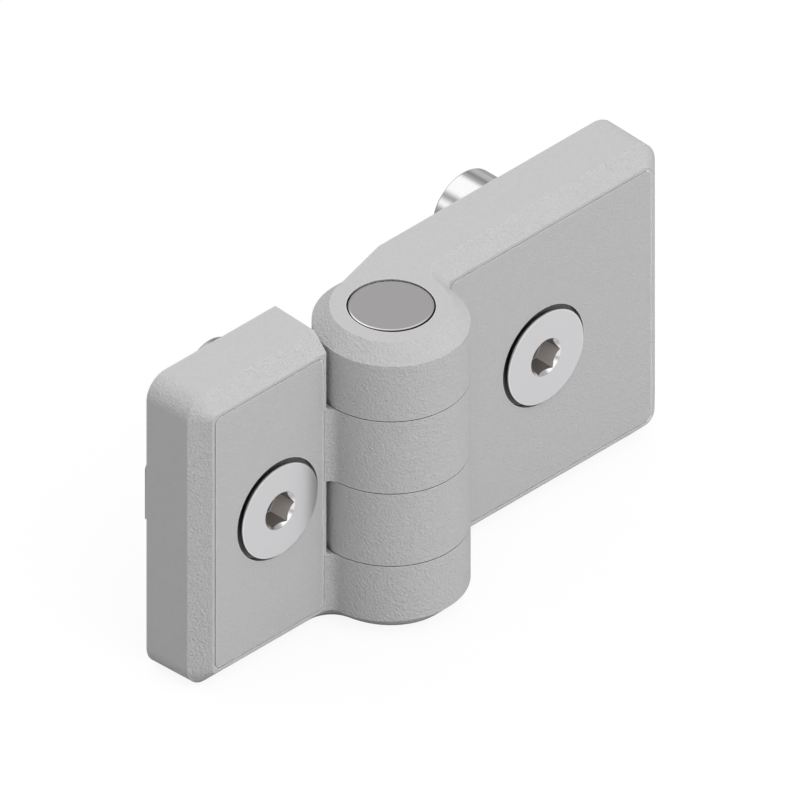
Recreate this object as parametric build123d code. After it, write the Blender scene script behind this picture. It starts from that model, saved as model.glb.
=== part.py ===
from build123d import *

import os
from math import acos, atan2, cos, hypot, radians, sin, sqrt, tan

# Hinge for two aluminium profiles: two cast leaves that swing on one steel pin, each
# with a countersunk screw, a T-slot nut and two locating studs that enter the slot.
#
# Millimetres. The origin is on the pin's axis at mid height. +Z runs up the pin and +X to
# the long leaf. The leaves show their fronts to -Y and seat on the profiles at +Y.

# Barrel and knuckles
barrel_radius = 9.0
barrel_height = 39.56
middle_knuckle = 10.0
knuckle_gap = 0.12
edge_chamfer = 2.0

# Leaves
back_offset = 9.03
leaf_thickness = 8.37
short_reach = 30.1
long_reach = 45.0
short_corner = 2.9
long_corner = 3.8
wall_clearance = 0.5
draft_angle = 1.4
root_fillet = 1.5
web_start = 7.05

# Decorative groove inside the chamfered rim of each front
rim_strip = 0.33
groove_width = 0.22
groove_depth = 0.25
groove_corner = 0.8

# Pin: pressed into the short leaf, running in the long one
pin_radius = 5.0
pin_clearance = 0.08
pin_edge = 0.25

# Countersunk screws
thread_radius = 3.0
head_radius = 6.0
head_rim = 0.25
head_proud = 0.46
socket_flats = 4.0
socket_depth = 3.2
short_screw_length = 16.0
long_screw_length = 20.0
short_screw_x = 17.5
long_screw_x = 25.0

# Screw holes in the leaves
hole_clearance = 0.3
counterbore_gap = 0.45
counterbore_depth = 1.0
recess_gap = 0.3
recess_depth = 0.4

# T-slot nuts
thread_clearance = 0.01
neck_gap = 0.65
nut_corner = 1.4
nut_edge = 0.25
short_slot_lip = 2.3
short_nut_length = 16.0
short_nut_width = 7.8
short_nut_thickness = 2.8
long_slot_lip = 4.6
long_nut_length = 16.6
long_nut_width = 9.8
long_nut_thickness = 3.6

# Locating studs: heads on spot faces in the backs, shanks pressed into blind holes
stud_inset = 5.78
shank_depth = 4.5
spot_depth = 0.08
spot_clearance = 0.15
short_stud_radius = 4.0
short_stud_height = 2.6
short_shank_radius = 2.5
long_stud_radius = 5.0
long_stud_height = 4.5
long_shank_radius = 3.0

# Places that follow from the sizes above
half_height = barrel_height / 2
past_ends = barrel_height
stud_level = half_height - stud_inset
front_y = back_offset - leaf_thickness
draft = tan(radians(draft_angle))
wall_x = barrel_radius + wall_clearance
head_top_y = front_y - head_proud
cone_top_y = head_top_y + head_rim
fillet_y = front_y - root_fillet
fillet_x = sqrt((barrel_radius + root_fillet) ** 2 - fillet_y**2)
barrel_share = barrel_radius / (barrel_radius + root_fillet)

# Knuckle rows from the bottom; the short leaf has the even ones and the long leaf the odd
short_leaf_rows = (0, 2)
long_leaf_rows = (1, 3)
bottom_row = short_leaf_rows[0]
top_row = long_leaf_rows[-1]

# The castings are drawn off towards -Y, so their ends lean inwards by the draft
top_end = Plane((0, 0, half_height), x_dir=(1, 0, 0), z_dir=(0, -draft, 1))
bottom_end = Plane((0, 0, -half_height), x_dir=(1, 0, 0), z_dir=(0, -draft, -1))


def between_ends(body):
    """Trim a casting to the two drafted ends of the hinge."""
    for end in (top_end, bottom_end):
        body = split(body, bisect_by=end, keep=Keep.BOTTOM)
    return body


def leaf_plate(reach, corner_radius):
    """The flat of a leaf, with drafted walls, round outer corners and a chamfered front."""
    back = Plane((0, back_offset, 0), x_dir=(1, 0, 0), z_dir=(0, -1, 0))
    tall = 2 * (half_height + draft * back_offset)
    outline = Pos((wall_x + reach) / 2, 0) * Rectangle(reach - wall_x, tall)
    outline = fillet(outline.vertices().sort_by(Axis.X)[2:], corner_radius)
    plate = extrude(back * outline, leaf_thickness, taper=draft_angle)
    front = plate.faces().sort_by(Axis.Y)[0]
    rim = front.edges().sort_by(Axis.X)[1:]
    return chamfer(rim, edge_chamfer)


def row_span(row):
    """Bottom and top of one knuckle; the end rows run on past the drafted ends."""
    lines = [-past_ends, -middle_knuckle, 0.0, middle_knuckle, past_ends]
    return lines[row] + knuckle_gap / 2, lines[row + 1] - knuckle_gap / 2


def outside_edges(end_face):
    """The barrel's arc, its root and the start of the leaf's front, round a knuckle's end."""
    curved = end_face.edges().filter_by(GeomType.LINE, reverse=True)
    straight = end_face.edges().filter_by(GeomType.LINE)
    return curved + straight.sort_by(Axis.Y)[:1]


def knuckle(row):
    """One knuckle with its web to the leaf; the rows count 0 to 3 from the bottom.

    The barrel's end edge is chamfered in one run with the leaf's front edge. The web's back
    wall leaves the seating plane and runs tangent to what the chamfer leaves of the end.
    """
    flat_radius = barrel_radius - edge_chamfer
    turn = atan2(back_offset, web_start) + acos(flat_radius / hypot(web_start, back_offset))
    on_flat = (flat_radius * cos(turn), flat_radius * sin(turn))
    on_barrel = (fillet_x * barrel_share, fillet_y * barrel_share)
    on_front = (fillet_x, front_y)
    in_web = (barrel_radius * cos(turn / 2), barrel_radius * sin(turn / 2))
    seat_x = fillet_x + root_fillet
    seat_middle = (seat_x, (front_y + back_offset) / 2)
    outside = [
        Line(seat_middle, (seat_x, front_y)),
        Line((seat_x, front_y), on_front),
        TangentArc(on_front, on_barrel, tangent=(-1, 0)),
        ThreePointArc(on_barrel, (-barrel_radius, 0), in_web),
        Polyline(in_web, (0, 0), seat_middle),
    ]
    inside = Polyline(
        (0, 0), on_flat, (web_start, back_offset), (seat_x, back_offset), seat_middle, close=True
    )
    low, high = row_span(row)
    drum = between_ends(Pos(0, 0, low) * extrude(make_face(outside), high - low))
    web = between_ends(Pos(0, 0, low) * extrude(make_face(inside), high - low))
    if row == bottom_row:
        drum = chamfer(outside_edges(drum.faces().sort_by(Axis.Z)[0]), edge_chamfer)
    if row == top_row:
        drum = chamfer(outside_edges(drum.faces().sort_by(Axis.Z)[-1]), edge_chamfer)
    return drum + web


def turned(*profile):
    """A solid turned about Y from its corners, given as (radius, y)."""
    return revolve(make_face(Polyline(*profile, close=True)), Axis.Y)


def front_groove(reach):
    """The fine loop cut into a front face, a strip in from the chamfer and the notches."""
    lean = draft * leaf_thickness
    inner_x = wall_x + lean + rim_strip
    outer_x = reach - lean - edge_chamfer - rim_strip
    wide = outer_x - inner_x
    tall = 2 * (half_height + draft * front_y - edge_chamfer - rim_strip)
    middle = ((inner_x + outer_x) / 2, front_y + groove_depth, 0)
    floor = Plane(middle, x_dir=(1, 0, 0), z_dir=(0, -1, 0))
    loop = RectangleRounded(wide, tall, groove_corner + groove_width)
    loop -= RectangleRounded(wide - 2 * groove_width, tall - 2 * groove_width, groove_corner)
    return extrude(floor * loop, 2 * groove_depth)


def screw_hole(nut_width):
    """Counterbore, countersink, through hole and the recess that clears the nut's neck."""
    bore = head_radius + counterbore_gap
    floor_y = front_y + counterbore_depth
    seat_radius = head_radius + cone_top_y - floor_y
    hole_radius = thread_radius + hole_clearance
    recess_radius = nut_width / sqrt(2) + recess_gap
    recess_y = back_offset - recess_depth
    return turned(
        (0, front_y - leaf_thickness),
        (bore, front_y - leaf_thickness),
        (bore, floor_y),
        (seat_radius, floor_y),
        (hole_radius, floor_y + seat_radius - hole_radius),
        (hole_radius, recess_y),
        (recess_radius, recess_y),
        (recess_radius, back_offset + leaf_thickness),
        (0, back_offset + leaf_thickness),
    )


def stud_seat(radius, shank_radius):
    """What a stud needs in the back of a leaf: a spot face and a blind hole."""
    floor_y = back_offset - shank_depth
    seat_y = back_offset - spot_depth
    return turned(
        (0, floor_y),
        (shank_radius, floor_y),
        (shank_radius, seat_y),
        (radius + spot_clearance, seat_y),
        (radius + spot_clearance, back_offset + leaf_thickness),
        (0, back_offset + leaf_thickness),
    )


def locating_stud(radius, shank_radius, height):
    """A stud: its shank in the blind hole, its head proud of the back."""
    floor_y = back_offset - shank_depth
    seat_y = back_offset - spot_depth
    end_y = back_offset + height
    return turned(
        (0, floor_y),
        (shank_radius, floor_y),
        (shank_radius, seat_y),
        (radius, seat_y),
        (radius, end_y),
        (0, end_y),
    )


def leaf(reach, corner_radius, rows, bore_radius, screw_x, nut_width, seat):
    """A whole leaf, drawn on the +X side of the pin."""
    body = leaf_plate(reach, corner_radius)
    for row in rows:
        body += knuckle(row)
    body -= Cylinder(bore_radius, 2 * past_ends)
    body -= front_groove(reach)
    body -= Pos(screw_x, 0, 0) * screw_hole(nut_width)
    for level in (-stud_level, stud_level):
        body -= Pos(screw_x, 0, level) * seat
    return body


def hinge_pin():
    """The plain pin, flush with the barrel, its ends chamfered."""
    pin = Cylinder(pin_radius, barrel_height)
    return chamfer(pin.edges().filter_by(GeomType.CIRCLE), pin_edge)


def screw(length):
    """Countersunk screw with a hexagon socket whose corners lie along X."""
    tip_y = head_top_y + length
    blank = turned(
        (0, head_top_y),
        (head_radius, head_top_y),
        (head_radius, cone_top_y),
        (thread_radius, cone_top_y + head_radius - thread_radius),
        (thread_radius, tip_y),
        (0, tip_y),
    )
    top = Plane((0, head_top_y, 0), x_dir=(1, 0, 0), z_dir=(0, 1, 0))
    socket = extrude(top * RegularPolygon(socket_flats / 2, 6, major_radius=False), socket_depth)
    return blank - socket


def nut_outline(length, width):
    """A rectangle with two corners rounded, across a diagonal, so it can turn in the slot."""
    outline = Rectangle(length, width)
    across = [v for v in outline.vertices() if v.X * v.Y > 0]
    return fillet(across, nut_corner)


def slot_nut(length, width, thickness, lip):
    """T-slot nut: a hammer head behind the slot's lips and a square neck between them."""
    neck_y = back_offset + neck_gap
    flange_y = back_offset + lip
    neck_plane = Plane((0, neck_y, 0), x_dir=(1, 0, 0), z_dir=(0, 1, 0))
    flange_plane = Plane((0, flange_y, 0), x_dir=(1, 0, 0), z_dir=(0, 1, 0))
    neck = extrude(neck_plane * nut_outline(width, width), flange_y - neck_y)
    flange = extrude(flange_plane * nut_outline(length, width), thickness)
    flange = chamfer(flange.faces().sort_by(Axis.Y)[-1].edges(), nut_edge)
    bore_plane = Plane((0, back_offset, 0), z_dir=(0, 1, 0))
    bore = extrude(bore_plane * Circle(thread_radius + thread_clearance), lip + 2 * thickness)
    return neck + flange - bore


def build():
    """Every piece by name, in place."""
    short_leaf = leaf(
        short_reach,
        short_corner,
        short_leaf_rows,
        pin_radius,
        short_screw_x,
        short_nut_width,
        stud_seat(short_stud_radius, short_shank_radius),
    )
    long_leaf = leaf(
        long_reach,
        long_corner,
        long_leaf_rows,
        pin_radius + pin_clearance,
        long_screw_x,
        long_nut_width,
        stud_seat(long_stud_radius, long_shank_radius),
    )
    short_nut = slot_nut(short_nut_length, short_nut_width, short_nut_thickness, short_slot_lip)
    long_nut = slot_nut(long_nut_length, long_nut_width, long_nut_thickness, long_slot_lip)
    pieces = {
        "short_leaf": mirror(short_leaf, Plane.YZ),
        "long_leaf": long_leaf,
        "hinge_pin": hinge_pin(),
        "short_leaf_screw": Pos(-short_screw_x, 0, 0) * screw(short_screw_length),
        "long_leaf_screw": Pos(long_screw_x, 0, 0) * screw(long_screw_length),
        "short_leaf_nut": Pos(-short_screw_x, 0, 0) * short_nut,
        "long_leaf_nut": Pos(long_screw_x, 0, 0) * long_nut,
    }
    short_stud = locating_stud(short_stud_radius, short_shank_radius, short_stud_height)
    long_stud = locating_stud(long_stud_radius, long_shank_radius, long_stud_height)
    for place, level in (("upper", stud_level), ("lower", -stud_level)):
        pieces[f"short_leaf_stud_{place}"] = Pos(-short_screw_x, 0, level) * short_stud
        pieces[f"long_leaf_stud_{place}"] = Pos(long_screw_x, 0, level) * long_stud
    return pieces


os.makedirs("parts", exist_ok=True)
for name, piece in build().items():
    export_step(piece, f"parts/{name}.step")
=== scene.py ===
# %% [markdown]
# # A hinge for two slotted profiles
# Two cast leaves swing on one steel pin. Each leaf carries a countersunk screw, a slot nut
# and two locating studs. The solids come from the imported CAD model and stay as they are.
# This lesson dresses them: it sets up the studio and the camera, builds the small turned
# parts again with finer edges and threads, and gives every surface its finish.

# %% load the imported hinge
import math

import bmesh
import bpy
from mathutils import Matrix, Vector


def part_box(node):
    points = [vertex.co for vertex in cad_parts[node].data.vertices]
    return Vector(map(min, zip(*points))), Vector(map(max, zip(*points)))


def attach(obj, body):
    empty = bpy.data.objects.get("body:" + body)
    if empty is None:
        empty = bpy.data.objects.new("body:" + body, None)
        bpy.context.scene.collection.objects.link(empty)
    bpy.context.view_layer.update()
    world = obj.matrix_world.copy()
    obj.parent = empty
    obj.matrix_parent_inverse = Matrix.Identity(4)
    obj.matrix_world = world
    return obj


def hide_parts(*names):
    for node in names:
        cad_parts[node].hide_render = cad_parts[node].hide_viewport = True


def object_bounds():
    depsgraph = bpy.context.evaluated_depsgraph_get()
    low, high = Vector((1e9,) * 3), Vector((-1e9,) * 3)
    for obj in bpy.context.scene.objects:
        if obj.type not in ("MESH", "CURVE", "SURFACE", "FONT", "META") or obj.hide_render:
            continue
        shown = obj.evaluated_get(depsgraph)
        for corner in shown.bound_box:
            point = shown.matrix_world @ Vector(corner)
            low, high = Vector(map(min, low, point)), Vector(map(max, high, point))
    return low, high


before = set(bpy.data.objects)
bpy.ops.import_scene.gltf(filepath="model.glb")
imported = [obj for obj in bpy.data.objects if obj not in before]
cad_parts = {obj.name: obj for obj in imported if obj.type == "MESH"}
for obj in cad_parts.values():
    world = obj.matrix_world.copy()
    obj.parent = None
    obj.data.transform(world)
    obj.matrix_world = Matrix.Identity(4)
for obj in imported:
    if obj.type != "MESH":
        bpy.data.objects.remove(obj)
cad_box = [list(corner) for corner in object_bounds()]
MM = 0.001
print("nodes", sorted(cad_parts))
print("CAD box in mm", [[round(x / MM, 2) for x in corner] for corner in cad_box])

# %% [markdown]
# ## The camera
# The picture is isometric: parallel edges stay parallel, and all three axes shrink alike.
# A perspective camera can't show that, so this one is orthographic and looks down the
# diagonal of a cube. Its scale is the picture's width in real length.

# %% camera
PICTURE_WIDTH = 90.47 * MM
CAMERA_AIM = Vector((2.944, 1.521, 4.464)) * MM
CAMERA_SIDE = Vector((-1, -1, 1)).normalized()
CAMERA_DISTANCE = 400 * MM

camera_data = bpy.data.cameras.new("isometric")
camera_data.type = "ORTHO"
camera_data.ortho_scale = PICTURE_WIDTH
camera = bpy.data.objects.new("camera", camera_data)
camera.location = CAMERA_AIM + CAMERA_SIDE * CAMERA_DISTANCE
camera.rotation_mode = "QUATERNION"
camera.rotation_quaternion = (-CAMERA_SIDE).to_track_quat("-Z", "Y")
bpy.context.scene.collection.objects.link(camera)
bpy.context.scene.camera = camera
bpy.context.scene.view_settings.view_transform = "Standard"
print("camera looks along", [round(x, 3) for x in -CAMERA_SIDE])

# %% [markdown]
# ## Nodes made short
# Shaders are graphs of nodes. They can be drawn in the shader editor, but a script shows
# every value and can be run again. A few helpers keep it short: each adds one node, or two
# that belong together, and gives back the socket with its result.


# %% helpers for nodes
def add_node(tree, kind, values=None, **settings):
    """A node of that kind; values fill its input sockets by name or number."""
    node = tree.nodes.new(kind)
    for name, value in settings.items():
        setattr(node, name, value)
    for name, value in (values or {}).items():
        if isinstance(value, bpy.types.NodeSocket):
            tree.links.new(value, node.inputs[name])
        else:
            node.inputs[name].default_value = value
    return node


def calculate(tree, operation, *values, **settings):
    """The result of one calculation with numbers."""
    node = add_node(tree, "ShaderNodeMath", dict(enumerate(values)), operation=operation, **settings)
    return node.outputs[0]


def vector_maths(tree, operation, values, result="Value"):
    """The result of one calculation with vectors."""
    return add_node(tree, "ShaderNodeVectorMath", values, operation=operation).outputs[result]


def remap(tree, value, start, end, at_start=0.0, at_end=1.0):
    """Goes from at_start to at_end while the value goes from start to end."""
    limits = {"From Min": start, "From Max": end, "To Min": at_start, "To Max": at_end}
    return add_node(tree, "ShaderNodeMapRange", {"Value": value, **limits}).outputs["Result"]


def curve(tree, value, stops):
    """A level for each value, in straight lines through stops of (place, level)."""
    first, last = stops[0][0], stops[-1][0]
    node = add_node(tree, "ShaderNodeValToRGB", {"Fac": remap(tree, value, first, last)})
    elements = node.color_ramp.elements
    for element, (place, level) in zip((elements[0], elements[-1]), (stops[0], stops[-1])):
        element.position = (place - first) / (last - first)
        element.color = (level, level, level, 1)
    for place, level in stops[1:-1]:
        elements.new((place - first) / (last - first)).color = (level, level, level, 1)
    return node.outputs["Color"]


def coordinate(tree, kind):
    """Where a point is on its own piece, or how the surface faces there."""
    return add_node(tree, "ShaderNodeTexCoord").outputs[kind]


def axes(tree, vector):
    """The three parts of a vector, by name."""
    return add_node(tree, "ShaderNodeSeparateXYZ", {0: vector}).outputs


print("helpers for nodes ready")

# %% [markdown]
# ## Studio light
# The hinge is lit softly, with no hard shadow: tops are lightest, fronts a little darker and
# the short leaf's end darkest. One wide lamp high in front gives that, over a sky that
# fades smoothly across and is dimmer at both ends of the X axis. The lamp is a power of the
# cosine to its direction, so it has no edge. Lamp objects could do this too, but a sky
# needs none and lights every side as softly.

# %% sky for the matt surfaces
SKY_LEVEL = 1.23
SKY_SLOPE = (0.14, 0.51, -0.39)
END_DIMMING = -0.8
LAMP_FROM = (0.0, -0.766, 0.643)
LAMP_LEVEL = 2.5
LAMP_POWER = 6.0
WHITE = (1, 1, 1, 1)

world = bpy.data.worlds.new("studio")
world.use_nodes = True
bpy.context.scene.world = world
sky = world.node_tree
sky.nodes.clear()
towards = coordinate(sky, "Generated")
heading = axes(sky, towards)
slope = vector_maths(sky, "DOT_PRODUCT", {0: towards, 1: SKY_SLOPE})
open_sky = calculate(sky, "ADD", slope, SKY_LEVEL)
ends = calculate(sky, "POWER", heading["X"], 2.0)
dim_ends = calculate(sky, "MULTIPLY_ADD", ends, END_DIMMING, open_sky)
nearness = vector_maths(sky, "DOT_PRODUCT", {0: towards, 1: LAMP_FROM})
facing_lamp = calculate(sky, "MAXIMUM", nearness, 0.0)
lamp = calculate(sky, "POWER", facing_lamp, LAMP_POWER)
light = calculate(sky, "MULTIPLY_ADD", lamp, LAMP_LEVEL, dim_ends)
print("sky level", SKY_LEVEL, "lamp level", LAMP_LEVEL)

# %% [markdown]
# ## What bright metal mirrors
# Polished metal shows what stands round it. Mirror rays therefore see another sky: one lamp
# in a grey room in front, and behind the hinge a white wall with a dark strip low down and
# a soft seam. The strip leans, so its height is measured along a tilted axis. Straight
# overhead the sky is dimmer. Real cards and lamps would light the matt leaves as well; a
# sky of its own lets the metal be set without touching them.

# %% sky for the mirror rays
STRIP_TILT = -0.317
STRIP_HEIGHTS = [
    (0.00, 0.48),
    (0.05, 0.46),
    (0.12, 0.38),
    (0.20, 0.26),
    (0.27, 0.25),
    (0.35, 0.32),
    (0.42, 0.39),
    (0.47, 0.43),
    (0.55, 0.78),
    (0.62, 1.00),
    (1.00, 1.00),
]
SEAM_PLACES = [
    (-1.00, 1.00),
    (-0.70, 1.00),
    (-0.61, 0.68),
    (-0.55, 0.38),
    (-0.49, 0.36),
    (-0.42, 0.55),
    (-0.34, 0.85),
    (-0.27, 1.00),
    (1.00, 1.00),
]
WALL_FROM_Y = 0.4
FRONT_LAMP = (-0.13, -0.81, 0.57)
FRONT_LAMP_EDGE = (0.80, 0.90)
FRONT_LAMP_LEVEL = 1.25
FRONT_LEVEL = 0.45
ZENITH_EDGE = (0.86, 0.97)
ZENITH_LEVEL = 0.55

strip_height = calculate(sky, "MULTIPLY_ADD", heading["X"], STRIP_TILT, heading["Z"])
strip = curve(sky, strip_height, STRIP_HEIGHTS)
seam = curve(sky, heading["X"], SEAM_PLACES)
wall = calculate(sky, "MULTIPLY", seam, strip)
to_lamp = vector_maths(sky, "DOT_PRODUCT", {0: towards, 1: FRONT_LAMP})
room = remap(sky, to_lamp, *FRONT_LAMP_EDGE, FRONT_LEVEL, FRONT_LAMP_LEVEL)
behind = remap(sky, heading["Y"], 0.0, WALL_FROM_Y)
difference = calculate(sky, "SUBTRACT", wall, room)
all_round = calculate(sky, "MULTIPLY_ADD", difference, behind, room)
overhead = remap(sky, heading["Z"], *ZENITH_EDGE, 1.0, ZENITH_LEVEL)
mirrored = calculate(sky, "MULTIPLY", all_round, overhead)
print("dark strip with", len(STRIP_HEIGHTS), "stops")

# %% one world for each kind of ray
ray = add_node(sky, "ShaderNodeLightPath").outputs
for_light = add_node(sky, "ShaderNodeBackground", {"Color": WHITE, "Strength": light}).outputs[0]
for_metal = add_node(sky, "ShaderNodeBackground", {"Color": WHITE, "Strength": mirrored}).outputs[0]
for_camera = add_node(sky, "ShaderNodeBackground", {"Color": WHITE}).outputs[0]
unseen = add_node(sky, "ShaderNodeMixShader", {0: ray["Is Glossy Ray"], 1: for_light, 2: for_metal})
all_rays = add_node(
    sky, "ShaderNodeMixShader", {0: ray["Is Camera Ray"], 1: unseen.outputs[0], 2: for_camera}
)
add_node(sky, "ShaderNodeOutputWorld", {"Surface": all_rays.outputs[0]})
print("the camera sees white round the hinge")

# %% [markdown]
# ## The floor
# The object stands on a pale floor that fades into the white background. What the camera
# and mirror rays see of it is lifted by a little light of its own, so it shows as white,
# while the diffuse part still takes the object's shadow. In the mirror it is white well
# in front of the hinge, grey below it as a painted shadow, and darker behind. One flat square is enough.

# %% floor
FLOOR_SIZE = 3.0
FLOOR_GREY = 0.42
FLOOR_SHADOW = 0.10
CAMERA_LIFT = 0.90
MIRROR_LIFTS = [
    (-20 * MM, 0.88),
    (-11 * MM, 0.88),
    (-8 * MM, 0.45),
    (15 * MM, 0.45),
    (45 * MM, 0.24),
    (50 * MM, 0.24),
]

floor_mesh = bpy.data.meshes.new("floor")
half = FLOOR_SIZE / 2
floor_z = cad_box[0][2]
corners = [(-half, -half, floor_z), (half, -half, floor_z), (half, half, floor_z), (-half, half, floor_z)]
floor_mesh.from_pydata(corners, [], [(0, 1, 2, 3)])
floor = bpy.data.objects.new("floor", floor_mesh)
bpy.context.scene.collection.objects.link(floor)

floor_finish = bpy.data.materials.new("pale_floor")
floor_finish.use_nodes = True
tree = floor_finish.node_tree
tree.nodes.clear()
ray = add_node(tree, "ShaderNodeLightPath").outputs
place = axes(tree, add_node(tree, "ShaderNodeNewGeometry").outputs["Position"])
seen = calculate(tree, "MAXIMUM", ray["Is Camera Ray"], ray["Is Glossy Ray"])
grey = remap(tree, seen, 0.0, 1.0, FLOOR_GREY, FLOOR_SHADOW)
in_mirror = calculate(tree, "MULTIPLY", ray["Is Glossy Ray"], curve(tree, place["Y"], MIRROR_LIFTS))
lift = calculate(tree, "MULTIPLY_ADD", ray["Is Camera Ray"], CAMERA_LIFT, in_mirror)
matt = add_node(tree, "ShaderNodeBsdfDiffuse", {"Color": grey})
glow = add_node(tree, "ShaderNodeEmission", {"Strength": lift})
both = add_node(tree, "ShaderNodeAddShader", {0: matt.outputs[0], 1: glow.outputs[0]})
add_node(tree, "ShaderNodeOutputMaterial", {"Surface": both.outputs[0]})
floor_mesh.materials.append(floor_finish)
print("floor at z", round(floor_z / MM, 2), "mm")

# %% [markdown]
# ## Effects that several finishes share
# Cast and plated surfaces have a fine grain, edges catch the light because no real edge is
# sharp, narrow gaps get painted shade, and turned parts carry rings. Each effect is a node
# group, built once and placed in a finish with its own values. A group only puts out
# heights, masks and normals; the shader stays in the finish.


# %% helpers for groups
def new_group(name, inputs, outputs):
    """An empty node group, its input node and its output node."""
    group = bpy.data.node_groups.new(name, "ShaderNodeTree")
    for label, kind, value in inputs:
        socket = group.interface.new_socket(label, in_out="INPUT", socket_type=kind)
        socket.default_value = value
    for label, kind in outputs:
        group.interface.new_socket(label, in_out="OUTPUT", socket_type=kind)
    return group, group.nodes.new("NodeGroupInput"), group.nodes.new("NodeGroupOutput")


def put_out(group, result, sockets):
    """Links sockets to a group's outputs by name."""
    for name, socket in sockets.items():
        group.links.new(socket, result.inputs[name])


print("helpers for groups ready")

# %% grain group
MOTTLE_RANGE = (0.3, 0.7)


def make_grain():
    """Fine grain: a height for a bump and a mask of lighter and darker spots."""
    group, given, result = new_group(
        "grain",
        [("Size", "NodeSocketFloat", 0.3), ("Spot Size", "NodeSocketFloat", 1.0)],
        [("Height", "NodeSocketFloat"), ("Mottle", "NodeSocketFloat")],
    )
    where = coordinate(group, "Object")
    per_grain = calculate(group, "DIVIDE", 1 / MM, given.outputs["Size"])
    per_spot = calculate(group, "DIVIDE", 1 / MM, given.outputs["Spot Size"])
    grit = add_node(
        group,
        "ShaderNodeTexNoise",
        {"Vector": where, "Scale": per_grain, "Detail": 2.0, "Roughness": 0.55},
    )
    spots = add_node(
        group,
        "ShaderNodeTexNoise",
        {"Vector": where, "Scale": per_spot, "Detail": 4.0, "Roughness": 0.7},
    )
    mottle = remap(group, spots.outputs["Fac"], *MOTTLE_RANGE)
    put_out(group, result, {"Height": grit.outputs["Fac"], "Mottle": mottle})
    return group


grain = make_grain()
print("group", grain.name, "with", len(grain.nodes), "nodes")


# %% soft edges group
def make_soft_edges():
    """A normal that turns over at edges, and a mask that is 1 where it does."""
    group, given, result = new_group(
        "soft_edges",
        [
            ("Radius", "NodeSocketFloat", 0.0001),
            ("Blunt", "NodeSocketFloat", 0.0),
            ("Reach", "NodeSocketFloat", 0.1),
        ],
        [("Normal", "NodeSocketVector"), ("Edge", "NodeSocketFloat")],
    )
    rounded = add_node(group, "ShaderNodeBevel", {"Radius": given.outputs["Radius"]}, samples=6).outputs[0]
    own_normal = add_node(group, "ShaderNodeNewGeometry").outputs["Normal"]
    agree = vector_maths(group, "DOT_PRODUCT", {0: rounded, 1: own_normal})
    turned_over = calculate(group, "SUBTRACT", 1.0, agree)
    edge = remap(group, turned_over, given.outputs["Blunt"], given.outputs["Reach"])
    put_out(group, result, {"Normal": rounded, "Edge": edge})
    return group


soft_edges = make_soft_edges()
print("group", soft_edges.name, "with", len(soft_edges.nodes), "nodes")


# %% crevices group
def make_crevices():
    """A mask that is 1 deep in narrow gaps and 0 on open faces."""
    group, given, result = new_group(
        "crevices",
        [
            ("Distance", "NodeSocketFloat", 0.0008),
            ("Start", "NodeSocketFloat", 0.55),
            ("End", "NodeSocketFloat", 0.05),
        ],
        [("Depth", "NodeSocketFloat")],
    )
    openness = add_node(
        group, "ShaderNodeAmbientOcclusion", {"Distance": given.outputs["Distance"]}, samples=12
    )
    depth = remap(group, openness.outputs["AO"], given.outputs["Start"], given.outputs["End"])
    put_out(group, result, {"Depth": depth})
    return group


crevices = make_crevices()
print("group", crevices.name, "with", len(crevices.nodes), "nodes")

# %% turning marks group
STREAK_SPACING = 0.21


def make_turning():
    """Fine rings round an axis through the piece's origin, as a lathe tool leaves them."""
    group, given, result = new_group(
        "turning",
        [
            ("Axis", "NodeSocketVector", (0, 1, 0)),
            ("Pitch", "NodeSocketFloat", 0.08),
            ("Waver", "NodeSocketFloat", 0.6),
        ],
        [
            ("Height", "NodeSocketFloat"),
            ("Streaks", "NodeSocketFloat"),
            ("Radius", "NodeSocketFloat"),
            ("Along", "NodeSocketFloat"),
        ],
    )
    axis = given.outputs["Axis"]
    where = coordinate(group, "Object")
    in_mm = vector_maths(group, "SCALE", {0: where, "Scale": 1 / MM}, "Vector")
    along = vector_maths(group, "DOT_PRODUCT", {0: in_mm, 1: axis})
    middle = vector_maths(group, "SCALE", {0: axis, "Scale": along}, "Vector")
    radius = vector_maths(group, "DISTANCE", {0: in_mm, 1: middle})
    path = calculate(group, "ADD", radius, along)
    rings = calculate(group, "DIVIDE", path, given.outputs["Pitch"])
    line = add_node(
        group,
        "ShaderNodeTexNoise",
        {"W": rings, "Scale": 1.0, "Detail": 2.0, "Roughness": given.outputs["Waver"]},
        noise_dimensions="1D",
    )
    slow = calculate(group, "MULTIPLY", rings, STREAK_SPACING)
    streaks = add_node(group, "ShaderNodeTexNoise", {"W": slow, "Scale": 1.0}, noise_dimensions="1D")
    put_out(
        group,
        result,
        {
            "Height": line.outputs["Fac"],
            "Streaks": streaks.outputs["Fac"],
            "Radius": radius,
            "Along": along,
        },
    )
    return group


turning = make_turning()
print("group", turning.name, "with", len(turning.nodes), "nodes")

# %% [markdown]
# ## Cast aluminium with a silver coat
# The leaves are die cast and coated in a matt silver grey. Close up the coat is finely
# textured, with lighter and darker specks. Bump gives the texture, the mottle mask shifts
# the colour slightly, and the edge mask lightens the open edges as a painted highlight.
# Deep gaps are painted nearly black as painted shade, and the fine groove round each front
# is painted lighter to cancel its shade. The grain is deeper on the barrel and the chamfers
# than on the broad flats, and there the colour is a little lighter: painted light that
# makes up for the shade of the deeper bump. Painted
# pictures could hold all this, but noise in the part's own space needs no unwrapping and
# stays sharp at any distance.


# %% helpers for finishes
def place_group(tree, group, values):
    """The outputs of a group node with its own values."""
    return add_node(tree, "ShaderNodeGroup", values, node_tree=group).outputs


def new_finish(name):
    """A material with only a Principled BSDF on its output."""
    finish = bpy.data.materials.new(name)
    finish.use_nodes = True
    tree = finish.node_tree
    tree.nodes.clear()
    shader = add_node(tree, "ShaderNodeBsdfPrincipled")
    add_node(tree, "ShaderNodeOutputMaterial", {"Surface": shader.outputs[0]})
    return finish, tree, shader


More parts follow.
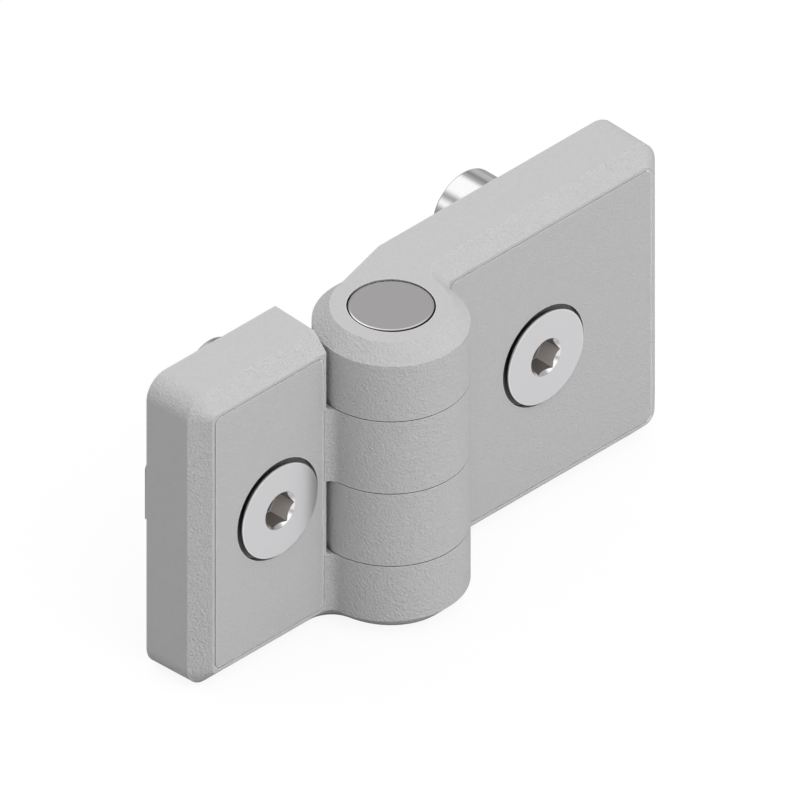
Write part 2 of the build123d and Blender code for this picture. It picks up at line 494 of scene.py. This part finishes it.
def blend_colour(tree, factor, first, second):
    """A colour mix; first and second are colours or sockets."""
    return add_node(tree, "ShaderNodeMix", {0: factor, 6: first, 7: second}, data_type="RGBA").outputs[2]


print("helpers for finishes ready")

# %% places on the leaves
GROOVE_TOP_Y = 0.67 * MM
GROOVE_FLOOR_Y = 0.95 * MM
FRONT_START_X = 9.5 * MM
FRONT_PLANE = (1, 0, 1)
FRONT_FACING = (0, -1, 0)
RIM_HEIGHT = 1.0 * MM
SEAT_RADIUS = 6.5 * MM
CHAMFER_LEAN = 0.7071
CHAMFER_LEEWAY = 0.15
RIGHT_GROOVES_X = (-9.75 * MM, 42.2 * MM)
RIGHT_GROOVE_REACH = 0.6 * MM
FLAT_START = 0.97
FLAT_END = 0.995


def screw_axis(node):
    """Where a screw's axis crosses the plane Y = 0."""
    low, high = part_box(node)
    return ((low.x + high.x) / 2, 0.0, (low.z + high.z) / 2)


def groove_mask(tree):
    """1 in the fine groove round each front: its depth and place, but not the chamfer."""
    where = coordinate(tree, "Object")
    place = axes(tree, where)
    flat = vector_maths(tree, "MULTIPLY", {0: where, 1: FRONT_PLANE}, "Vector")
    lean = vector_maths(tree, "DOT_PRODUCT", {0: coordinate(tree, "Normal"), 1: FRONT_FACING})
    off_chamfer = calculate(tree, "ABSOLUTE", calculate(tree, "SUBTRACT", lean, CHAMFER_LEAN))
    rim_z = cad_box[1][2] - RIM_HEIGHT
    tests = [
        ("GREATER_THAN", place["Y"], GROOVE_TOP_Y),
        ("LESS_THAN", place["Y"], GROOVE_FLOOR_Y),
        ("GREATER_THAN", calculate(tree, "ABSOLUTE", place["X"]), FRONT_START_X),
        ("LESS_THAN", calculate(tree, "ABSOLUTE", place["Z"]), rim_z),
        ("GREATER_THAN", off_chamfer, CHAMFER_LEEWAY),
    ]
    for node in ("short_leaf_screw", "long_leaf_screw"):
        away = vector_maths(tree, "DISTANCE", {0: flat, 1: screw_axis(node)})
        tests.append(("GREATER_THAN", away, SEAT_RADIUS))
    mask = 1.0
    for test, value, limit in tests:
        mask = calculate(tree, "MULTIPLY", calculate(tree, test, value, limit), mask)
    return mask


def right_side(tree):
    """1 where the groove runs up the right side of a front."""
    place = axes(tree, coordinate(tree, "Object"))
    mask = 0.0
    for x in RIGHT_GROOVES_X:
        near = calculate(tree, "COMPARE", place["X"], x, RIGHT_GROOVE_REACH)
        mask = calculate(tree, "ADD", near, mask)
    return mask


def roundness(tree):
    """0 on the broad flat faces, 1 on the barrel and the chamfers."""
    place = axes(tree, coordinate(tree, "Object"))
    facing = vector_maths(tree, "ABSOLUTE", {0: coordinate(tree, "Normal")}, "Vector")
    toward = axes(tree, facing)
    off_barrel = calculate(
        tree, "GREATER_THAN", calculate(tree, "ABSOLUTE", place["X"]), FRONT_START_X
    )
    side = calculate(tree, "MAXIMUM", toward["X"], toward["Y"])
    leaf_side = calculate(tree, "MULTIPLY", side, off_barrel)
    flatness = calculate(tree, "MAXIMUM", leaf_side, toward["Z"])
    return remap(tree, flatness, FLAT_END, FLAT_START)


print("screws at x", [round(screw_axis(n)[0] / MM, 2) for n in ("short_leaf_screw", "long_leaf_screw")])

# %% material for the leaves
FLAT_DARK = (0.482, 0.482, 0.482, 1)
FLAT_LIGHT = (0.498, 0.498, 0.498, 1)
LIFTED_ROUND_DARK = (0.500, 0.500, 0.500, 1)
LIFTED_ROUND_LIGHT = (0.524, 0.524, 0.524, 1)
EDGE_HIGHLIGHT_COAT = (0.64, 0.64, 0.64, 1)
DEEP_SHADE = (0.01, 0.01, 0.01, 1)
GROOVE_LIFT_TINT = (0.62, 0.62, 0.62, 1)
RIGHT_GROOVE_LIFT_TINT = (0.90, 0.90, 0.90, 1)
GRAIN_ON_FLATS = 0.09 * MM
GRAIN_ON_ROUNDS = 0.20 * MM


def silver_casting():
    """Matt silver coat over a fine cast texture, with painted shade in the gaps and painted highlights on
    the edges.
    """
    finish, tree, shader = new_finish("silver_casting")
    coat = place_group(tree, grain, {"Size": 0.30, "Spot Size": 0.9})
    soft = place_group(tree, soft_edges, {"Radius": 0.06 * MM})
    edges = place_group(tree, soft_edges, {"Radius": 0.40 * MM, "Blunt": 0.10, "Reach": 0.20})
    gaps = place_group(tree, crevices, {"Distance": 1.2 * MM, "Start": 0.62, "End": 0.15})
    rounds = roundness(tree)
    on_flats = blend_colour(tree, coat["Mottle"], FLAT_DARK, FLAT_LIGHT)
    # Painted light: the barrel and the chamfers get a slightly lighter colour that makes up for the shade
    # their deeper bump adds.
    lifted_rounds = blend_colour(tree, coat["Mottle"], LIFTED_ROUND_DARK, LIFTED_ROUND_LIGHT)
    base = blend_colour(tree, rounds, on_flats, lifted_rounds)
    shaded = blend_colour(tree, gaps["Depth"], base, DEEP_SHADE)
    # Painted highlight: open edges, away from the gaps, are lightened.
    open_edge = calculate(tree, "SUBTRACT", edges["Edge"], gaps["Depth"], use_clamp=True)
    edge_lit = blend_colour(tree, open_edge, shaded, EDGE_HIGHLIGHT_COAT)
    # Painted light: the groove gets a lighter colour that cancels most of its shade, and on the right
    # sides, where it hardly shows, nearly all of it.
    groove_lift = blend_colour(tree, right_side(tree), GROOVE_LIFT_TINT, RIGHT_GROOVE_LIFT_TINT)
    colour = blend_colour(tree, groove_mask(tree), edge_lit, groove_lift)
    grain_depth = remap(tree, rounds, 0.0, 1.0, GRAIN_ON_FLATS, GRAIN_ON_ROUNDS)
    bump = add_node(
        tree,
        "ShaderNodeBump",
        {"Height": coat["Height"], "Strength": 1.0, "Distance": grain_depth, "Normal": soft["Normal"]},
    )
    tree.links.new(colour, shader.inputs["Base Color"])
    tree.links.new(bump.outputs[0], shader.inputs["Normal"])
    shader.inputs["Metallic"].default_value = 0.0
    shader.inputs["Roughness"].default_value = 0.62
    shader.inputs["Specular IOR Level"].default_value = 0.2
    return finish


casting = silver_casting()
print("made", casting.name)

# %% [markdown]
# ## Bare and plated steel
# The steel finishes differ in colour, gloss and marks: the pin is bare drawn steel, the
# screws are zinc plated and satin, the long leaf's studs are turned bright, and the short
# leaf's studs and the nuts are duller. One function makes them all from their values, so
# they stay alike.

# %% maker of steel finishes
RING_STRENGTH = 0.5
GLOSSIEST = 0.9
DULLEST = 1.15


def steel(name, dark, light, roughness, ring_pitch, ring_height, axis=(0, 1, 0)):
    """Metal with turning marks and a soft edge; also returns its marks and its tint."""
    finish, tree, shader = new_finish(name)
    marks = place_group(tree, turning, {"Axis": axis, "Pitch": ring_pitch, "Waver": 0.6})
    spots = place_group(tree, grain, {"Size": 0.25, "Spot Size": 0.7})
    edges = place_group(tree, soft_edges, {"Radius": 0.05 * MM, "Reach": 0.1})
    tint = blend_colour(tree, marks["Streaks"], (*dark, 1), (*light, 1))
    rough = remap(tree, spots["Mottle"], 0.0, 1.0, roughness * GLOSSIEST, roughness * DULLEST)
    bump = add_node(
        tree,
        "ShaderNodeBump",
        {
            "Height": marks["Height"],
            "Strength": RING_STRENGTH,
            "Distance": ring_height * MM,
            "Normal": edges["Normal"],
        },
    )
    tree.links.new(tint, shader.inputs["Base Color"])
    tree.links.new(rough, shader.inputs["Roughness"])
    tree.links.new(bump.outputs[0], shader.inputs["Normal"])
    shader.inputs["Metallic"].default_value = 1.0
    return finish, tree, shader, marks, tint


print("steel is", GLOSSIEST, "to", DULLEST, "times its set roughness")

# %% the pin's steel
PIN_SEAM_START = 4.84
PIN_SEAM_END = 4.90
PIN_SEAM_PAINTED_SHADE = (0.02, 0.02, 0.02, 1)


def pin_finish():
    """Bare steel with a line of painted shade where the pin meets the barrel."""
    finish, tree, shader, marks, tint = steel(
        "bare_pin_steel",
        dark=(0.95, 0.915, 0.925),
        light=(0.99, 0.95, 0.96),
        roughness=0.12,
        ring_pitch=0.10,
        ring_height=0.0002,
        axis=(0, 0, 1),
    )
    # Painted shade: the edge next to the barrel is made nearly black, where the gap round the pin lies in
    # shade.
    seam = remap(tree, marks["Radius"], PIN_SEAM_START, PIN_SEAM_END)
    tree.links.new(blend_colour(tree, seam, tint, PIN_SEAM_PAINTED_SHADE), shader.inputs["Base Color"])
    return finish


pin_steel = pin_finish()
print("made", pin_steel.name)

# %% [markdown]
# ## The screws' finish
# The head is satin zinc, with painted shade where it faces the narrow gap round it and a
# painted highlight on its rim and on its socket's entry. Inside the socket the plating is
# less metallic and painted a dark brownish grey as painted shade, one wall is painted
# lighter as a painted reflection, and the corners between the walls carry painted highlight
# lines. Each
# place is found by its distance from the axis and along it, by its shade, or by the way
# its wall faces, so the screw stays one mesh with one material. BLUR is the narrow band
# in which such a mask changes, so that its edge isn't jagged.

# %% the screws' steel
SOCKET_ENTRY = 2.4
SOCKET_RADIUS = 2.6
SOCKET_BOTTOM = 4.5
SOCKET_PAINTED_SHADE = (0.24, 0.215, 0.20, 1)
SOCKET_METAL = 0.45
LIT_WALL_TINT = (0.80, 0.76, 0.73, 1)
LIT_WALL_NORMAL = (-0.866, 0.0, 0.5)
LIT_WALL_FACING = (0.6, 0.95)
CORNER_HIGHLIGHT = (0.90, 0.88, 0.86, 1)
ENTRY_GLINT_TINT = (0.82, 0.81, 0.82, 1)
RIM_HIGHLIGHT = (0.78, 0.78, 0.79, 1)
RIM_START = 0.16
RIM_END = 0.08
GAP_SHADE = (0.004, 0.004, 0.004, 1)
BLUR = 0.01


def screw_finish():
    """Satin zinc with a painted highlight on the rim, painted shade in the gap, and dull socket walls
    painted dark as shade.
    """
    low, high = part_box("long_leaf_screw")
    head_radius = (high.x - low.x) / 2 / MM
    finish, tree, shader, marks, tint = steel(
        "zinc_screw_steel",
        dark=(0.615, 0.612, 0.625),
        light=(0.630, 0.627, 0.640),
        roughness=0.2,
        ring_pitch=0.12,
        ring_height=0.0002,
    )
    radius, along = marks["Radius"], marks["Along"]
    near_axis = remap(tree, radius, SOCKET_RADIUS + BLUR, SOCKET_RADIUS)
    above_bottom = remap(tree, along, SOCKET_BOTTOM + BLUR, SOCKET_BOTTOM)
    inside = calculate(tree, "MULTIPLY", near_axis, above_bottom)
    below_head = remap(tree, along, 2 * BLUR, 4 * BLUR)
    recessed = calculate(tree, "MULTIPLY", inside, below_head)
    entry_depth = calculate(tree, "ADD", radius, along)
    past_entry = remap(tree, entry_depth, SOCKET_ENTRY + 2 * BLUR, SOCKET_ENTRY + 6 * BLUR)
    in_socket = calculate(tree, "MULTIPLY", past_entry, recessed)
    at_rim = remap(tree, radius, head_radius - RIM_START, head_radius - RIM_END)
    facing = vector_maths(tree, "DOT_PRODUCT", {0: coordinate(tree, "Normal"), 1: LIT_WALL_NORMAL})
    corner = place_group(tree, soft_edges, {"Radius": 0.10 * MM, "Blunt": 0.03, "Reach": 0.10})
    gap = place_group(tree, crevices, {"Distance": 0.7 * MM, "Start": 0.75, "End": 0.35})
    in_gap = calculate(tree, "MULTIPLY", gap["Depth"], remap(tree, inside, 1.0, 0.0))

    # Painted reflection: the socket wall that faces this way is lighter, the others painted dark as shade.
    walls = blend_colour(tree, remap(tree, facing, *LIT_WALL_FACING), SOCKET_PAINTED_SHADE, LIT_WALL_TINT)
    # Painted highlight: light lines along the socket's inner corners.
    walls = blend_colour(tree, corner["Edge"], walls, CORNER_HIGHLIGHT)
    # Painted highlight: the socket's entry gets a lighter metal colour, so its reflections show as glints.
    head = blend_colour(tree, recessed, tint, ENTRY_GLINT_TINT)
    # Painted highlight: a thin light ring at the head's rim.
    head = blend_colour(tree, at_rim, head, RIM_HIGHLIGHT)
    plated = blend_colour(tree, in_socket, head, walls)
    colour = blend_colour(tree, in_gap, plated, GAP_SHADE)
    tree.links.new(colour, shader.inputs["Base Color"])
    tree.links.new(remap(tree, in_socket, 0.0, 1.0, 1.0, SOCKET_METAL), shader.inputs["Metallic"])
    return finish


screw_steel = screw_finish()
print("made", screw_steel.name)

# %% the studs' and the nuts' steel
DIMMED_END_TINT = (0.60, 0.60, 0.61, 1)
END_FACING = (0.6, 0.95)


def bright_stud_finish():
    """Bright turned steel; the end faces are painted darker, painted shade that dims their reflection."""
    finish, tree, shader, _, tint = steel(
        "bright_stud_steel",
        dark=(0.94, 0.93, 0.94),
        light=(0.99, 0.98, 0.99),
        roughness=0.12,
        ring_pitch=0.09,
        ring_height=0.0006,
    )
    facing = axes(tree, coordinate(tree, "Normal"))
    # Painted shade: faces that look along the axis get a darker colour, chosen by the way they face.
    endwise = remap(tree, facing["Y"], *END_FACING)
    tree.links.new(blend_colour(tree, endwise, tint, DIMMED_END_TINT), shader.inputs["Base Color"])
    return finish


stud_steel = bright_stud_finish()
dull_stud_steel = steel(
    "dull_stud_steel",
    dark=(0.56, 0.55, 0.55),
    light=(0.64, 0.63, 0.63),
    roughness=0.3,
    ring_pitch=0.09,
    ring_height=0.0006,
)[0]
nut_steel = steel(
    "plated_nut_steel",
    dark=(0.55, 0.55, 0.56),
    light=(0.64, 0.64, 0.65),
    roughness=0.32,
    ring_pitch=0.20,
    ring_height=0.0010,
)[0]
print("made", [finish.name for finish in (stud_steel, dull_stud_steel, nut_steel)])

# %% [markdown]
# ## Turned parts from rings
# A lathe cuts one profile all the way round, so a turned part is a stack of rings: each
# ring has a radius and a height on the axis, and neighbouring rings are joined by quads.
# A ring need not be round. The hexagon socket uses rings whose radius changes with the
# angle, which keeps the whole screw one clean mesh. The screw modifier turns a profile
# too, but only a round one. Next to the axis a ring keeps a tiny radius, so that its
# points stay apart.

# %% rings
STEPS = 96
AXIS_RADIUS = 0.05
SHARP_ANGLE = 40


def circle(radius, height):
    """One round ring."""
    return [(radius, height)] * STEPS


def rounding(start, corner, end, steps):
    """Points of a curve that rounds a profile's corner from start to end."""
    points = []
    for i in range(steps + 1):
        t = i / steps
        radius = (1 - t) ** 2 * start[0] + 2 * t * (1 - t) * corner[0] + t**2 * end[0]
        height = (1 - t) ** 2 * start[1] + 2 * t * (1 - t) * corner[1] + t**2 * end[1]
        points.append((radius, height))
    return points


def on_axis(axis, radius, turn, height):
    """A point by its radius, turn and height about an axis, sizes in mm."""
    a, b = radius * math.cos(turn) * MM, radius * math.sin(turn) * MM
    return Vector((a, b, height * MM)) if axis == "Z" else Vector((a, height * MM, b))


def join_rings(work, rings, axis):
    """Adds a stack of rings to a bmesh, closed at both ends."""
    loops = []
    for ring in rings:
        points = [on_axis(axis, r, 2 * math.pi * i / STEPS, h) for i, (r, h) in enumerate(ring)]
        loops.append([work.verts.new(point) for point in points])
    for low, high in zip(loops, loops[1:]):
        for i in range(STEPS):
            j = (i + 1) % STEPS
            work.faces.new((low[i], low[j], high[j], high[i]))
    work.faces.new(loops[0])
    work.faces.new(loops[-1])


def even_shading(piece):
    """Lets the large faces set the normals, so flats stay flat beside rounded edges."""
    even = piece.modifiers.new("even shading", "WEIGHTED_NORMAL")
    even.keep_sharp = True


def finish_piece(name, work, origin, finish, body, node):
    """Turns a bmesh into a piece that rides on a body and stands for a CAD node."""
    bmesh.ops.recalc_face_normals(work, faces=work.faces)
    mesh = bpy.data.meshes.new(name)
    work.to_mesh(mesh)
    work.free()
    mesh.shade_smooth()
    mesh.set_sharp_from_angle(angle=math.radians(SHARP_ANGLE))
    mesh.materials.append(finish)
    piece = bpy.data.objects.new(name, mesh)
    piece.location = origin
    bpy.context.scene.collection.objects.link(piece)
    even_shading(piece)
    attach(piece, body)
    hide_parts(node)
    print(name, len(mesh.polygons), "faces")


print("rings of", STEPS, "points")

# %% [markdown]
# ## The pin
# A plain steel pin fills the barrel. Its ends are flat with a small rounded edge, which
# catches a thin bright line. A cylinder with a bevel would do as well; rings place the
# rounded edge exactly.

# %% pin
PIN_EDGE = 0.34


def make_pin():
    """The pin, with rounded ends."""
    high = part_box("hinge_pin")[1]
    radius, top = high.x / MM, high.z / MM
    upper = rounding((radius, top - PIN_EDGE), (radius, top), (radius - PIN_EDGE, top), steps=6)
    lower = [(r, -h) for r, h in reversed(upper)]
    work = bmesh.new()
    join_rings(work, [circle(r, h) for r, h in lower + upper], "Z")
    finish_piece("pin", work, Vector(), pin_steel, "short_side", "hinge_pin")


make_pin()

# %% [markdown]
# ## The locating studs
# Each stud is a short turned post that drops into the profile's slot. Its end has a fine
# rounded edge and a drilled centre mark, and behind the leaf a narrower shank holds it.
# One profile gives all of that at once, and its sizes are read from the CAD solid.

# %% studs
STUD_EDGE = 0.18
SHANK_SHARE = 0.6
SHOULDER_SHARE = 0.95
CENTRE_MARK = 0.6
CENTRE_DEPTH = 0.48


def shoulder_height(node):
    """How far up the stud its shoulder is, read from its CAD mesh."""
    low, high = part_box(node)
    wide = (high.x - low.x) / 2 * SHOULDER_SHARE
    centre = (low + high) / 2
    heights = [
        v.co.y - low.y
        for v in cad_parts[node].data.vertices
        if math.hypot(v.co.x - centre.x, v.co.z - centre.z) > wide
    ]
    return min(heights) / MM


def make_stud(node, finish, body):
    """A stud turned from one profile, about its own Y axis."""
    low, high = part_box(node)
    centre = (low + high) / 2
    origin = Vector((centre.x, low.y, centre.z))
    radius = (high.x - low.x) / 2 / MM
    length = (high.y - low.y) / MM
    shoulder = shoulder_height(node)
    shank = SHANK_SHARE * radius
    profile = [(shank, 0.0), (shank, shoulder), (radius, shoulder)]
    edge = radius - STUD_EDGE
    profile += rounding((radius, length - STUD_EDGE), (radius, length), (edge, length), steps=4)
    profile += [(CENTRE_MARK, length), (AXIS_RADIUS, length - CENTRE_DEPTH)]
    work = bmesh.new()
    join_rings(work, [circle(r, h) for r, h in profile], "Y")
    finish_piece(node.replace("_stud", "_post"), work, origin, finish, body, node)


for side, finish in (("short", dull_stud_steel), ("long", stud_steel)):
    for end in ("upper", "lower"):
        make_stud(f"{side}_leaf_stud_{end}", finish, f"{side}_side")

# %% [markdown]
# ## The screws
# A countersunk socket screw: a flat head with a thin rim, a cone, and a threaded shank.
# The socket starts with a round chamfer that the hexagon's corners cut into, so the edge
# between them runs in six small arcs. The thread is a real helix: its rows climb one pitch
# in each turn, so a row's end meets the start of a later row. Bump could only draw a
# thread; a modelled one also shows in the outline.

# %% screws
SOCKET_FLATS = 4.0
SOCKET_DEPTH = 3.3
DRILL_RADIUS = 1.7
DRILL_POINT = 0.9
HEAD_RIM = 0.25
RIM_EDGE = 0.08
THREAD_PITCH = 1.0
THREAD_DEPTH = 0.55
THREAD_RADIUS = 3.0
THREAD_PLAY = 0.02
THREAD_OVERLAP = 0.4
TIP_CHAMFER = 0.7
ROWS_PER_TURN = 8
THREAD_SHAPE = (0.0, 0.0, 0.35, 0.85, 1.0, 1.0, 0.65, 0.15)
MERGE_DISTANCE = 0.002 * MM
SMALLEST_EDGE = 0.001 * MM


def hexagon_radius(turn):
    """Distance from the socket's axis to its wall, with corners along X."""
    sector = math.radians(60)
    off = (turn % sector) - sector / 2
    return SOCKET_FLATS / 2 / math.cos(off)


def hexagon(height=None):
    """The socket's wall at one height, or where the round entry meets it."""
    ring = []
    for i in range(STEPS):
        radius = hexagon_radius(2 * math.pi * i / STEPS)
        ring.append((radius, SOCKET_ENTRY - radius if height is None else height))
    return ring


def head_rings(head):
    """Rings from the bottom of the socket, over the head, to the start of the thread."""
    rim = rounding((head - RIM_EDGE, 0.0), (head, 0.0), (head, RIM_EDGE), steps=3)
    rings = [circle(AXIS_RADIUS, SOCKET_DEPTH + DRILL_POINT), circle(DRILL_RADIUS, SOCKET_DEPTH)]
    rings += [hexagon(SOCKET_DEPTH), hexagon(), circle(SOCKET_ENTRY, 0.0)]
    rings += [circle(r, h) for r, h in rim]
    rings += [circle(head, HEAD_RIM), circle(THREAD_RADIUS, HEAD_RIM + head - THREAD_RADIUS)]
    return rings


def add_thread(work, radius, start, end):
    """A threaded shank from start to end along Y, its tip chamfered."""
    rows = int((end - start) / THREAD_PITCH + 2) * ROWS_PER_TURN
    grid = []
    for row in range(rows + ROWS_PER_TURN + 1):
        line = []
        for i in range(STEPS):
            climb = (row / ROWS_PER_TURN + i / STEPS - 1) * THREAD_PITCH
            height = min(max(start + climb, start), end)
            crest = THREAD_SHAPE[row % ROWS_PER_TURN]
            r = radius - THREAD_DEPTH * (1 - crest)
            r = min(r, radius - TIP_CHAMFER * max(0.0, 1 - (end - height) / TIP_CHAMFER))
            line.append(work.verts.new(on_axis("Y", r, 2 * math.pi * i / STEPS, height)))
        grid.append(line)
    for row in range(rows):
        for i in range(STEPS):
            j = (i + 1) % STEPS
            step = ROWS_PER_TURN if j == 0 else 0
            corners = (grid[row][i], grid[row + step][j], grid[row + step + 1][j], grid[row + 1][i])
            work.faces.new(corners)


def make_screw(node, body):
    """A whole screw about its own Y axis."""
    low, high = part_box(node)
    centre = (low + high) / 2
    origin = Vector((centre.x, low.y, centre.z))
    head = (high.x - low.x) / 2 / MM
    length = (high.y - low.y) / MM
    thread_start = HEAD_RIM + head - THREAD_RADIUS - THREAD_OVERLAP
    work = bmesh.new()
    join_rings(work, head_rings(head), "Y")
    add_thread(work, THREAD_RADIUS - THREAD_PLAY, thread_start, length)
    bmesh.ops.remove_doubles(work, verts=work.verts, dist=MERGE_DISTANCE)
    bmesh.ops.dissolve_degenerate(work, edges=work.edges, dist=SMALLEST_EDGE)
    bmesh.ops.holes_fill(work, edges=work.edges)
    finish_piece(node.replace("_screw", "_bolt"), work, origin, screw_steel, body, node)


make_screw("short_leaf_screw", "short_side")
make_screw("long_leaf_screw", "long_side")

# %% [markdown]
# ## Finishes on the CAD parts
# The leaves and the slot nuts keep their CAD meshes. They are shaded smooth except where
# two faces meet at an angle, so round walls look round and real edges stay crisp. They
# need no new mesh, because bump and soft edges give all the finer detail.

# %% dress the CAD parts
CAD_SHARP_ANGLE = 25

for node, finish in {
    "short_leaf": casting,
    "long_leaf": casting,
    "short_leaf_nut": nut_steel,
    "long_leaf_nut": nut_steel,
}.items():
    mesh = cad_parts[node].data
    mesh.shade_smooth()
    mesh.set_sharp_from_angle(angle=math.radians(CAD_SHARP_ANGLE))
    mesh.materials.clear()
    mesh.materials.append(finish)
    even_shading(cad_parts[node])
    print(node, len(mesh.polygons), "faces", finish.name)
